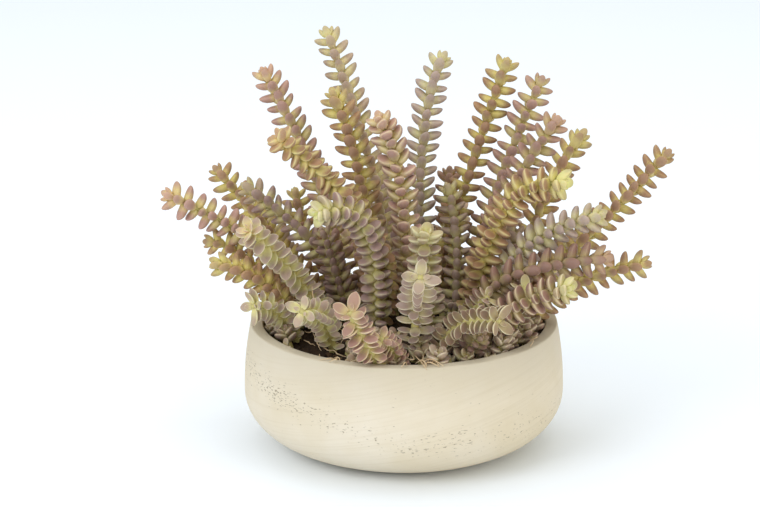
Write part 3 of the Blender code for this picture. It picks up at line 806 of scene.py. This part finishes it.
def leaf_material(name, flesh, blush, margin, bud, bud_strength, flush_reach):
    """Waxy succulent leaf: soft satin skin, light glowing a little through the flesh.

    The flesh is yellow-green near the stem and flushed by the sun towards the tip, with a
    thin pale margin and a dusty bloom on the underside, whose darker grey is partly painted
    shade. Leaves of dusky stems are darkened towards brown, which is painted shade. Young
    leaves at the bud are paler.
    """
    material, tree, shader = new_material(name)
    place = add_node(tree, "TexCoord", output="Object")
    along, rim, under, young, own, dusk = (
        add_node(tree, "Attribute", output="Fac", attribute_name=trait)
        for trait in LEAF_TRAITS)
    mottle = add_node(tree, "TexNoise", {
        "Vector": place, "Scale": 380.0, "Detail": 3.0, "Roughness": 0.6})
    flush_place = add_node(tree, "Math", {0: own, 1: 0.5, 2: along}, operation="MULTIPLY_ADD")
    flush_noise = add_node(tree, "Math", {
        0: mottle, 1: 0.35, 2: flush_place}, operation="MULTIPLY_ADD")
    flush = add_node(tree, "MapRange", {
        "Value": flush_noise, "From Min": 0.55 - flush_reach,
        "From Max": 1.15 - flush_reach}, interpolation_type="SMOOTHSTEP")
    skin = add_node(tree, "Mix", {
        "Factor": flush, "A": linear(flesh), "B": linear(blush)}, data_type="RGBA")
    shade = add_node(tree, "MapRange", {"Value": own, "To Min": 0.90, "To Max": 1.18})
    toned = add_node(tree, "VectorMath", {0: skin, "Scale": shade}, operation="SCALE")
    # Painted shade: the leaf is darkened towards brown by its stem's dusk
    painted_shade_share = add_node(tree, "Math", {0: dusk, 1: 0.6}, operation="MULTIPLY")
    shade_painted = add_node(tree, "Mix", {
        "Factor": painted_shade_share, "A": toned, "B": linear(SHADE_PAINT_BROWN)}, data_type="RGBA")
    # The underside: a real mauve-grey bloom, whose darker grey is partly painted shade under the
    # leaf
    bloom_and_shade_mask = add_node(tree, "Math", {0: under, 1: 0.26}, operation="MULTIPLY")
    bloomed_and_shaded = add_node(tree, "Mix", {
        "Factor": bloom_and_shade_mask, "A": shade_painted, "B": linear(BLOOM_AND_SHADE_GREY)}, data_type="RGBA")
    fresh_base = add_node(tree, "MapRange", {
        "Value": along, "To Min": bud_strength * 1.1, "To Max": bud_strength * 0.6})
    fresh_mask = add_node(tree, "Math", {0: young, 1: fresh_base}, operation="MULTIPLY")
    fresh = add_node(tree, "Mix", {
        "Factor": fresh_mask, "A": bloomed_and_shaded, "B": linear(bud)}, data_type="RGBA")
    rim_mask = add_node(tree, "MapRange", {
        "Value": rim, "From Min": 0.10, "From Max": 0.80,
        "To Max": 0.70}, interpolation_type="SMOOTHSTEP")
    edged = add_node(tree, "Mix", {
        "Factor": rim_mask, "A": fresh, "B": linear(margin)}, data_type="RGBA")
    bump = add_node(tree, "Bump", {"Height": mottle, "Strength": 0.12, "Distance": 0.3 * MM})
    set_inputs(tree, shader, {
        "Base Color": edged, "Normal": bump, "Roughness": 0.5, "IOR": 1.42,
        "Specular IOR Level": 0.25, "Subsurface Weight": 0.18,
        "Subsurface Scale": 2.5 * MM, "Subsurface Radius": (1.0, 0.7, 0.3)})
    return material


def stem_material():
    """Green bark of the core: smooth, a little paler than the leaves."""
    material, tree, shader = new_material("stem_skin")
    place = add_node(tree, "TexCoord", output="Object")
    specks = add_node(tree, "TexNoise", {"Vector": place, "Scale": 260.0, "Detail": 4.0})
    colour = add_node(tree, "Mix", {
        "Factor": specks, "A": linear(STEM_GREEN), "B": linear(STEM_OLIVE)}, data_type="RGBA")
    set_inputs(tree, shader, {"Base Color": colour, "Roughness": 0.6})
    return material


templates = {form: leaf_template(*sizes) for form, sizes in LEAF_FORMS.items()}
stem_skin = stem_material()
leaf_skins = {}


def leaf_skin(tint, bud):
    """The leaf material of one tint and bud, made when it is first asked for."""
    if (tint, bud) not in leaf_skins:
        name = "leaf_skin_%s_%s" % (tint, bud)
        leaf_skins[tint, bud] = leaf_material(name, *TINTS[tint], *BUDS[bud])
    return leaf_skins[tint, bud]


turns = random.Random(SEED)
plans = []
for root, elbow, tip, size, twist, tint, bud, habit, _ in STEMS:
    twist = math.radians(twist) + turns.uniform(-TURN_PLAY, TURN_PLAY)
    plans.append(plan_stem(root, elbow, tip, size, twist, habit))

core_marks = [(index, ring[0]) for index, plan in enumerate(plans) for ring in plan[0][1:]]
core_tree = KDTree(len(core_marks))
for mark, (index, centre) in enumerate(core_marks):
    core_tree.insert(centre, mark)
core_tree.balance()


def meets_other_core(point, own_index, clearance):
    for _, mark, _ in core_tree.find_range(point, clearance):
        if core_marks[mark][0] != own_index:
            return True
    return False


def leaf_is_clear(base, along, upper, reach, number):
    """False where it would run into the bowl, the soil or another stem, or out of the box."""
    probes = [base + along * reach * part + upper * reach * 0.1 for part in (0.5, 0.8, 1.0)]
    for tip, low, high in zip(probes[-1], cad_box[0], cad_box[1]):
        if not low + BOX_CLEARANCE < tip < high - BOX_CLEARANCE:
            return False
    probes.append(base + along * reach * 0.6 - upper * reach * 0.2)
    for probe in probes:
        if inside_wall(probe) or probe.z < soil_height(probe.x, probe.y) + SOIL_CLEARANCE:
            return False
        if meets_other_core(probe, number, CORE_CLEARANCE):
            return False
    return True


def grow_shoots(name, shoots, tint, bud, dusk, seed):
    """One mesh of shoots: rounded cores with their leaves; a shoot is (plan, habit, index)."""
    chance = random.Random(seed)
    blocks = []
    faces = []
    face_materials = []
    columns = {trait: [] for trait in LEAF_TRAITS}
    start = 0
    for (rings, pairs), habit, number in shoots:
        core = np.array(core_points(rings))
        core_faces = tube_faces(start, len(rings), STEM_SIDES)
        blocks.append(core)
        faces += core_faces
        face_materials += [1] * len(core_faces)
        for column in columns.values():
            column.append(np.zeros(len(core)))
        start += len(core)
        form = HABITS[habit][0]
        front_lift = HABITS[habit][4]
        points, leaf_faces, along_share, margin_share, under_share = templates[form]
        for count, pair in enumerate(pairs):
            leaf_size, spread, from_tip = pair[4:]
            pair_yaw = chance.uniform(-PAIR_YAW_PLAY, PAIR_YAW_PLAY)
            for rank in (count % 2, count % 2 + 2):
                full_length = LEAF_LENGTH * leaf_size * chance.uniform(*SIZE_PLAY)
                lean = spread + chance.uniform(-LEAN_PLAY, LEAN_PLAY)
                roll = chance.uniform(-ROLL_PLAY, ROLL_PLAY)
                yaw = pair_yaw + chance.uniform(-LEAF_YAW_PLAY, LEAF_YAW_PLAY)
                own = chance.random()
                lean -= front_lift * front_share(pair, rank)
                for shrink, tilt in LEAF_TRIES:
                    reach = full_length * shrink
                    base, across, along, upper = place_leaf(pair, rank, lean + tilt, roll, yaw)
                    if leaf_is_clear(base, along, upper, reach, number):
                        break
                else:
                    continue
                directions = np.array([across, along, upper]) * reach
                blocks.append(points @ directions + np.array(base))
                faces += [tuple(start + corner for corner in face) for face in leaf_faces]
                face_materials += [0] * len(leaf_faces)
                youth = max(0.0, 1.0 - from_tip / YOUNG_REACH)
                # The dusk trait carries the stem's painted shade into the material
                traits = (along_share, margin_share, under_share, youth, own, dusk)
                for column, trait in zip(columns.values(), traits):
                    column.append(np.broadcast_to(trait, len(points)))
                start += len(points)
    mesh = bpy.data.meshes.new(name)
    mesh.from_pydata(np.concatenate(blocks).tolist(), [], faces)
    for key, parts in columns.items():
        layer = mesh.attributes.new(key, "FLOAT", "POINT")
        layer.data.foreach_set("value", np.concatenate(parts).astype(np.float32))
    mesh.shade_smooth()
    obj = add_object(name, mesh, leaf_skin(tint, bud))
    mesh.materials.append(stem_skin)
    mesh.polygons.foreach_set("material_index", face_materials)
    mesh.update()
    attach(obj, "root")
    return obj


for number, stem in enumerate(STEMS):
    tint, bud, habit, dusk = stem[5:]
    shoots = [(plans[number], habit, number)]
    name = "stonecrop_stem_%02d" % (number + 1)
    shoot = grow_shoots(name, shoots, tint, bud, dusk, SEED * 100 + number)
    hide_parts("leafy_stem_%02d" % (number + 1))

# Basal sprouts: short young shoots that come up from the soil between the stems, most of
# them near the lip. They are the same plant as the stems and stand in the same soil.
SPROUT_SEED = 31
SPROUT_COUNT = 90
SPROUT_CLEARANCE = 4.5 * MM
SPROUT_REACH = 104 * MM
SPROUT_HEIGHTS = (8.0, 22.0)
SPROUT_LEANS = (-3.0, 6.0)
SPROUT_SIZES = (0.66, 0.92)
SPROUT_FOOT = 84
# Painted shade: the sprouts, low under the stems, are darkened towards brown
SPROUT_PAINTED_SHADE = 0.8
# Bare places, where only dry fibres lie: middle (x, y) and reach in mm
BARE_PATCHES = ((-66, -33, 17), (-58, -60, 15), (-52, -82, 12), (11, -100, 10), (90, -22, 9))
SPROUT_TINTS = ("mauve", "sage", "lilac")

sprout_chance = random.Random(SPROUT_SEED)
sprouts = {tint: [] for tint in SPROUT_TINTS}
sprout_places = []
while len(sprout_places) < SPROUT_COUNT:
    reach = SPROUT_REACH * sprout_chance.uniform(0.1, 1.0) ** 0.35
    angle = sprout_chance.uniform(0.0, 2.0 * math.pi)
    place = Vector((reach * math.cos(angle), reach * math.sin(angle), 0.0))
    place.z = soil_height(place.x, place.y)
    crowded = any((place - other).length < 2.0 * SPROUT_CLEARANCE for other in sprout_places)
    for bare_x, bare_y, bare_reach in BARE_PATCHES:
        crowded |= math.hypot(place.x / MM - bare_x, place.y / MM - bare_y) < bare_reach
    if crowded or meets_other_core(place + Vector((0, 0, 5 * MM)), -1, SPROUT_CLEARANCE):
        continue
    sprout_places.append(place)
    lean = reach / SPROUT_REACH * sprout_chance.uniform(*SPROUT_LEANS)
    height = sprout_chance.uniform(*SPROUT_HEIGHTS)
    root = (place.x / MM, place.y / MM)
    outward = (math.cos(angle) * lean, math.sin(angle) * lean)
    middle = (root[0] + 0.3 * outward[0], root[1] + 0.3 * outward[1],
              SPROUT_FOOT + 0.6 * height)
    tip = (root[0] + outward[0], root[1] + outward[1], SPROUT_FOOT + height)
    size = sprout_chance.uniform(*SPROUT_SIZES)
    plan = plan_stem(root, middle, tip, size, sprout_chance.uniform(0.0, 1.5), "sprout")
    sprouts[sprout_chance.choice(SPROUT_TINTS)].append((plan, "sprout", -1))
for tint, shoots in sprouts.items():
    grow_shoots("basal_sprouts_" + tint, shoots, tint, "none", SPROUT_PAINTED_SHADE, SPROUT_SEED)

# Dry fibres: straw-thin old roots and moss strands left on the soil and over the front of
# the lip. Each is a brittle curled thread a millimetre thick at most, drawn as a tube that
# thins towards both ends.
FIBRE_SEED = 23
FIBRE_RADIUS = 0.5 * MM
FIBRE_SIDES = 5
FIBRE_STEPS = 14
FIBRE_BEND = 0.35
FIBRE_WAVER = 0.25
FIBRE_LIFTS = (0.5, 5.0)
STRAND_WAVER = 0.35 * MM
FIBRE_STRAW = "#E2CCA6"
FIBRE_BROWN = "#B8976C"
# Strands: the long threads that can be told apart, as points (x, y, z) in mm
STRANDS = (
    ((-70, -7, 93), (-68, -21, 92), (-65, -29, 90), (-62, -46, 90), (-57, -63, 93),
     (-52, -75, 97), (-49, -91, 99)),
    ((-70, -18, 92), (-68, -32, 91), (-65, -40, 89), (-63, -51, 89)),
    ((-77, -29, 90), (-73, -35, 90), (-68, -36, 88)),
    ((-77, -13, 92), (-73, -18, 92), (-71, -13, 93)),
    ((-65, -24, 90), (-60, -35, 92), (-60, -44, 91), (-63, -40, 89)),
    ((-12, -55, 95), (-8, -80, 98), (-8, -103, 100)),
    ((6, -77, 97), (10, -101, 100), (14, -114, 100), (17, -119, 97)),
    ((14, -69, 96), (15, -98, 100), (13, -108, 100)),
    ((20, -88, 98), (18, -108, 100), (16, -117, 98)),
    ((23, -88, 98), (19, -99, 100), (12, -106, 100)),
    ((1, -90, 97), (4, -102, 99), (8, -106, 100), (6, -88, 98)),
    ((-70, -44, 138), (-68, -50, 126), (-66, -52, 116)),
    ((-99, -14, 132), (-97, -13, 126), (-94, -12, 120)),
)
# Tangles: middle (x, y) in mm, spread in mm, number of fibres, length in mm
TANGLES = (
    (12, -104, 8, 22, 16),
    (-50, -84, 12, 12, 28),
    (-64, -70, 9, 7, 22),
    (-30, -64, 14, 6, 20),
    (88, -54, 10, 8, 16),
    (48, -40, 12, 5, 22),
    (0, 0, 80, 34, 20),
)

# Dry straw: dull and matt, tan with browner stretches about a centimetre long.
fibre_straw, tree, shader = new_material("dry_fibre")
place = add_node(tree, "TexCoord", output="Object")
fibre_noise = add_node(tree, "TexNoise", {"Vector": place, "Scale": 150.0})
fibre_colour = add_node(tree, "Mix", {
    "Factor": fibre_noise, "A": linear(FIBRE_STRAW), "B": linear(FIBRE_BROWN)}, data_type="RGBA")
set_inputs(tree, shader, {"Base Color": fibre_colour, "Roughness": 0.8})


def ground_height(x, y):
    """What a fibre lies on: the soil, or the lip where it reaches that far."""
    reach = math.hypot(x, y)
    if reach > LIP_RADIUS - WALL - WALL_CLEARANCE:
        return BOWL_HEIGHT
    return soil_height(x, y)


def fibre_route(chance, x, y, length):
    """A curled thread that wanders over the ground and lifts off it in places."""
    heading = chance.uniform(0.0, 2.0 * math.pi)
    bend = chance.uniform(-FIBRE_BEND, FIBRE_BEND)
    lift = chance.uniform(*FIBRE_LIFTS) * MM
    step = length * MM / FIBRE_STEPS
    points = []
    for index in range(FIBRE_STEPS + 1):
        share = index / FIBRE_STEPS
        reach = math.hypot(x, y)
        limit = LIP_RADIUS - FIBRE_RADIUS
        if reach > limit:
            x *= limit / reach
            y *= limit / reach
        z = ground_height(x, y) + FIBRE_RADIUS + lift * math.sin(math.pi * share)
        points.append(Vector((x, y, z)))
        heading += bend + chance.uniform(-FIBRE_WAVER, FIBRE_WAVER)
        x += step * math.cos(heading)
        y += step * math.sin(heading)
    for _ in range(2):
        smooth = [points[0]]
        smooth += [(a + b * 2 + c) / 4 for a, b, c in zip(points, points[1:], points[2:])]
        points = smooth + [points[-1]]
    return points


def strand_route(chance, marks):
    """A smooth thread through its points, with a slight waver between them."""
    points = [Vector(mark) * MM for mark in marks]
    for _ in range(2):
        finer = [points[0]]
        for a, b in zip(points, points[1:]):
            finer += [a.lerp(b, 0.25), a.lerp(b, 0.75)]
        points = finer + [points[-1]]
    for point in points[1:-1]:
        point += Vector([chance.uniform(-STRAND_WAVER, STRAND_WAVER) for _ in range(3)])
    return points


def draw_thread(route, points, faces):
    """Add a closed tube along the route, thinner towards both ends."""
    first = len(points)
    for index, point in enumerate(route):
        ahead = route[min(index + 1, len(route) - 1)] - route[max(index - 1, 0)]
        turn = ahead.to_track_quat("Z", "X")
        share = index / (len(route) - 1)
        radius = FIBRE_RADIUS * (1.0 - 0.6 * abs(2.0 * share - 1.0))
        for step in range(FIBRE_SIDES):
            angle = 2.0 * math.pi * step / FIBRE_SIDES
            offset = Vector((radius * math.cos(angle), radius * math.sin(angle), 0.0))
            points.append(point + turn @ offset)
    faces += tube_faces(first, len(route), FIBRE_SIDES)


fibre_chance = random.Random(FIBRE_SEED)
fibre_points = []
fibre_faces = []
for middle_x, middle_y, spread, count, length in TANGLES:
    for _ in range(count):
        away = spread * MM * math.sqrt(fibre_chance.random())
        angle = fibre_chance.uniform(0.0, 2.0 * math.pi)
        x = middle_x * MM + away * math.cos(angle)
        y = middle_y * MM + away * math.sin(angle)
        route = fibre_route(fibre_chance, x, y, length * fibre_chance.uniform(0.6, 1.2))
        draw_thread(route, fibre_points, fibre_faces)
for marks in STRANDS:
    draw_thread(strand_route(fibre_chance, marks), fibre_points, fibre_faces)
fibre_mesh = bpy.data.meshes.new("dry_fibres")
fibre_mesh.from_pydata(fibre_points, [], fibre_faces)
fibre_mesh.shade_smooth()
fibres = add_object("dry_fibres", fibre_mesh, fibre_straw)
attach(fibres, "root")

bpy.context.view_layer.update()
